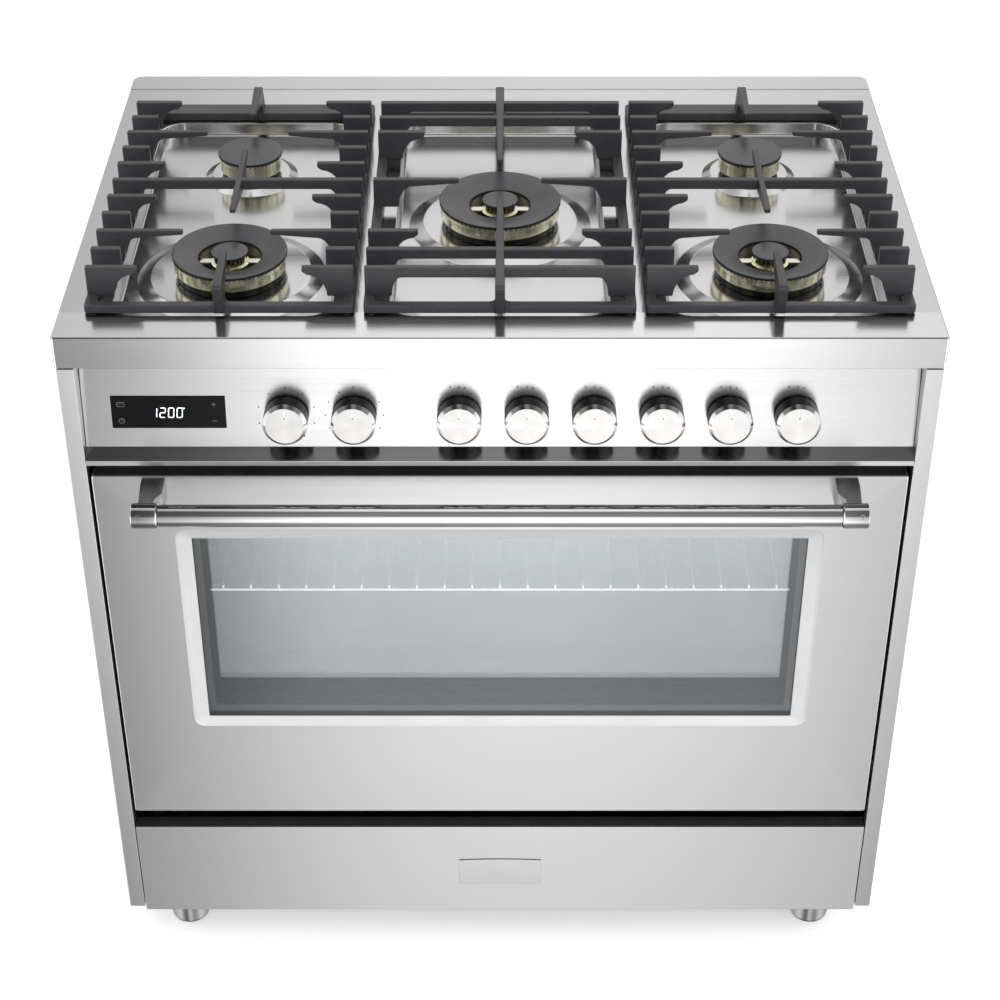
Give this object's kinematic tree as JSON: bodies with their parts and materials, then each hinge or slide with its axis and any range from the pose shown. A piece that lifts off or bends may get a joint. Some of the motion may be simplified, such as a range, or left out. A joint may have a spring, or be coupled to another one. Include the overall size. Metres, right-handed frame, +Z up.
{
  "type": "freestanding gas range",
  "caption": "Freestanding gas range with brass burners, cast iron pan supports, a drop-down oven door, a storage drawer and turning knobs.",
  "frame": {"origin": "on the floor, under the centre of the bounding box", "axes": "+Z up, front faces -Y, +X to the viewer's right seen from the front"},
  "size_m": [0.9, 0.6802, 0.951],
  "materials": {
    "brushed_steel": "fine horizontal brushed grain, satin",
    "polished_steel": "mirror polished",
    "knob_metal": "polished sides with a satin turned face",
    "galvanised_sheet": "dull zinc spangle",
    "plated_steel": "plain plated",
    "oven_enamel": "smooth dark vitreous enamel",
    "rack_wire": "bright plated wire",
    "fan_steel": "plain sheet",
    "seal_rubber": "matt",
    "display_glass": "gloss black glass with white digits",
    "door_glass": "tinted clear, gloss",
    "brass": "machined, bright",
    "cap_enamel": "matt black enamel",
    "cast_iron": "satin black enamel on cast iron",
    "foot_steel": "brushed sleeve over a dark ring"
  },
  "bodies": {
    "root": {"worktop": "brushed_steel", "rear_trim": "brushed_steel", "side_panel_left": "brushed_steel", "side_panel_right": "brushed_steel", "back_panel": "galvanised_sheet", "base_pan": "galvanised_sheet", "control_fascia": "brushed_steel", "display": "display_glass", "gas_manifold": "plated_steel", "oven_cavity": "oven_enamel", "oven_rack": "rack_wire", "fan_cover": "oven_enamel", "door_gasket": "seal_rubber", "hinge_left": "plated_steel", "hinge_right": "plated_steel", "burner_head_front_left": "brass", "burner_head_rear_left": "brass", "burner_head_centre": "brass", "burner_head_front_right": "brass", "burner_head_rear_right": "brass"},
    "door": {"door_outer": "brushed_steel", "door_liner": "oven_enamel", "door_glass_outer": "door_glass", "door_glass_inner": "door_glass", "handle_bar": "polished_steel", "handle_bracket_left": "polished_steel", "handle_bracket_right": "polished_steel"},
    "drawer": {"drawer_front": "brushed_steel", "drawer_box": "galvanised_sheet", "badge": "polished_steel"},
    "oven_function_knob": {"oven_function_knob": "knob_metal"},
    "oven_temperature_knob": {"oven_temperature_knob": "knob_metal"},
    "valve_spindle_1": {"valve_spindle_1": "plated_steel"},
    "gas_knob_1": {"gas_knob_1": "knob_metal"},
    "valve_spindle_2": {"valve_spindle_2": "plated_steel"},
    "gas_knob_2": {"gas_knob_2": "knob_metal"},
    "valve_spindle_3": {"valve_spindle_3": "plated_steel"},
    "gas_knob_3": {"gas_knob_3": "knob_metal"},
    "valve_spindle_4": {"valve_spindle_4": "plated_steel"},
    "gas_knob_4": {"gas_knob_4": "knob_metal"},
    "valve_spindle_5": {"valve_spindle_5": "plated_steel"},
    "gas_knob_5": {"gas_knob_5": "knob_metal"},
    "valve_spindle_6": {"valve_spindle_6": "plated_steel"},
    "gas_knob_6": {"gas_knob_6": "knob_metal"},
    "fan": {"convection_fan": "fan_steel"},
    "grate_left": {"grate_left": "cast_iron"},
    "grate_centre": {"grate_centre": "cast_iron"},
    "grate_right": {"grate_right": "cast_iron"},
    "burner_cap_front_left": {"burner_cap_front_left": "cap_enamel"},
    "inner_cap_front_left": {"inner_cap_front_left": "cap_enamel"},
    "burner_cap_rear_left": {"burner_cap_rear_left": "cap_enamel"},
    "burner_cap_centre": {"burner_cap_centre": "cap_enamel"},
    "inner_cap_centre": {"inner_cap_centre": "cap_enamel"},
    "burner_cap_front_right": {"burner_cap_front_right": "cap_enamel"},
    "inner_cap_front_right": {"inner_cap_front_right": "cap_enamel"},
    "burner_cap_rear_right": {"burner_cap_rear_right": "cap_enamel"},
    "foot_front_left": {"foot_front_left": "foot_steel"},
    "foot_front_right": {"foot_front_right": "foot_steel"},
    "foot_rear_left": {"foot_rear_left": "foot_steel"},
    "foot_rear_right": {"foot_rear_right": "foot_steel"}
  },
  "joints": [
    {"name": "door_hinge", "type": "hinge", "parent": "root", "child": "door", "pos_m": [0, -0.24785, 0.266], "axis": [1, 0, 0], "range_deg": [0, 90], "stiffness_Nm_per_rad": 12},
    {"name": "drawer_slide", "type": "slide", "parent": "root", "child": "drawer", "axis": [0, -1, 0], "range_m": [0, 0.4]},
    {"name": "oven_function_turn", "type": "hinge", "parent": "root", "child": "oven_function_knob", "pos_m": [-0.2205, -0.26139, 0.806], "axis": [0, -0.9933, 0.1159], "continuous": true},
    {"name": "oven_temperature_turn", "type": "hinge", "parent": "root", "child": "oven_temperature_knob", "pos_m": [-0.1505, -0.26139, 0.806], "axis": [0, -0.9933, 0.1159], "range_deg": [-300, 0]},
    {"name": "gas_knob_1_push", "type": "slide", "parent": "root", "child": "valve_spindle_1", "axis": [0, 0.9933, -0.1159], "range_m": [0, 0.003], "stiffness_N_per_m": 800, "springref_m": -0.006},
    {"name": "gas_knob_1_turn", "type": "hinge", "parent": "valve_spindle_1", "child": "gas_knob_1", "pos_m": [-0.042, -0.26139, 0.806], "axis": [0, -0.9933, 0.1159], "range_deg": [0, 210]},
    {"name": "gas_knob_2_push", "type": "slide", "parent": "root", "child": "valve_spindle_2", "axis": [0, 0.9933, -0.1159], "range_m": [0, 0.003], "stiffness_N_per_m": 800, "springref_m": -0.006},
    {"name": "gas_knob_2_turn", "type": "hinge", "parent": "valve_spindle_2", "child": "gas_knob_2", "pos_m": [0.0276, -0.26139, 0.806], "axis": [0, -0.9933, 0.1159], "range_deg": [0, 210]},
    {"name": "gas_knob_3_push", "type": "slide", "parent": "root", "child": "valve_spindle_3", "axis": [0, 0.9933, -0.1159], "range_m": [0, 0.003], "stiffness_N_per_m": 800, "springref_m": -0.006},
    {"name": "gas_knob_3_turn", "type": "hinge", "parent": "valve_spindle_3", "child": "gas_knob_3", "pos_m": [0.0972, -0.26139, 0.806], "axis": [0, -0.9933, 0.1159], "range_deg": [0, 210]},
    {"name": "gas_knob_4_push", "type": "slide", "parent": "root", "child": "valve_spindle_4", "axis": [0, 0.9933, -0.1159], "range_m": [0, 0.003], "stiffness_N_per_m": 800, "springref_m": -0.006},
    {"name": "gas_knob_4_turn", "type": "hinge", "parent": "valve_spindle_4", "child": "gas_knob_4", "pos_m": [0.1668, -0.26139, 0.806], "axis": [0, -0.9933, 0.1159], "range_deg": [0, 210]},
    {"name": "gas_knob_5_push", "type": "slide", "parent": "root", "child": "valve_spindle_5", "axis": [0, 0.9933, -0.1159], "range_m": [0, 0.003], "stiffness_N_per_m": 800, "springref_m": -0.006},
    {"name": "gas_knob_5_turn", "type": "hinge", "parent": "valve_spindle_5", "child": "gas_knob_5", "pos_m": [0.2364, -0.26139, 0.806], "axis": [0, -0.9933, 0.1159], "range_deg": [0, 210]},
    {"name": "gas_knob_6_push", "type": "slide", "parent": "root", "child": "valve_spindle_6", "axis": [0, 0.9933, -0.1159], "range_m": [0, 0.003], "stiffness_N_per_m": 800, "springref_m": -0.006},
    {"name": "gas_knob_6_turn", "type": "hinge", "parent": "valve_spindle_6", "child": "gas_knob_6", "pos_m": [0.306, -0.26139, 0.806], "axis": [0, -0.9933, 0.1159], "range_deg": [0, 210]},
    {"name": "fan_spin", "type": "hinge", "parent": "root", "child": "fan", "pos_m": [0, 0.19015, 0.505], "axis": [0, 1, 0], "continuous": true},
    {"name": "grate_left_lift", "type": "slide", "parent": "root", "child": "grate_left", "axis": [0, 0, 1], "range_m": [0, 0.12]},
    {"name": "grate_centre_lift", "type": "slide", "parent": "root", "child": "grate_centre", "axis": [0, 0, 1], "range_m": [0, 0.12]},
    {"name": "grate_right_lift", "type": "slide", "parent": "root", "child": "grate_right", "axis": [0, 0, 1], "range_m": [0, 0.12]},
    {"name": "burner_cap_front_left_lift", "type": "slide", "parent": "root", "child": "burner_cap_front_left", "axis": [0, 0, 1], "range_m": [0, 0.01]},
    {"name": "inner_cap_front_left_lift", "type": "slide", "parent": "root", "child": "inner_cap_front_left", "axis": [0, 0, 1], "range_m": [0, 0.01]},
    {"name": "burner_cap_rear_left_lift", "type": "slide", "parent": "root", "child": "burner_cap_rear_left", "axis": [0, 0, 1], "range_m": [0, 0.01]},
    {"name": "burner_cap_centre_lift", "type": "slide", "parent": "root", "child": "burner_cap_centre", "axis": [0, 0, 1], "range_m": [0, 0.01]},
    {"name": "inner_cap_centre_lift", "type": "slide", "parent": "root", "child": "inner_cap_centre", "axis": [0, 0, 1], "range_m": [0, 0.01]},
    {"name": "burner_cap_front_right_lift", "type": "slide", "parent": "root", "child": "burner_cap_front_right", "axis": [0, 0, 1], "range_m": [0, 0.01]},
    {"name": "inner_cap_front_right_lift", "type": "slide", "parent": "root", "child": "inner_cap_front_right", "axis": [0, 0, 1], "range_m": [0, 0.01]},
    {"name": "burner_cap_rear_right_lift", "type": "slide", "parent": "root", "child": "burner_cap_rear_right", "axis": [0, 0, 1], "range_m": [0, 0.01]},
    {"name": "foot_front_left_level", "type": "slide", "parent": "root", "child": "foot_front_left", "axis": [0, 0, 1], "range_m": [-0.04, 0]},
    {"name": "foot_front_right_level", "type": "slide", "parent": "root", "child": "foot_front_right", "axis": [0, 0, 1], "range_m": [-0.04, 0]},
    {"name": "foot_rear_left_level", "type": "slide", "parent": "root", "child": "foot_rear_left", "axis": [0, 0, 1], "range_m": [-0.04, 0]},
    {"name": "foot_rear_right_level", "type": "slide", "parent": "root", "child": "foot_rear_right", "axis": [0, 0, 1], "range_m": [-0.04, 0]}
  ]
}
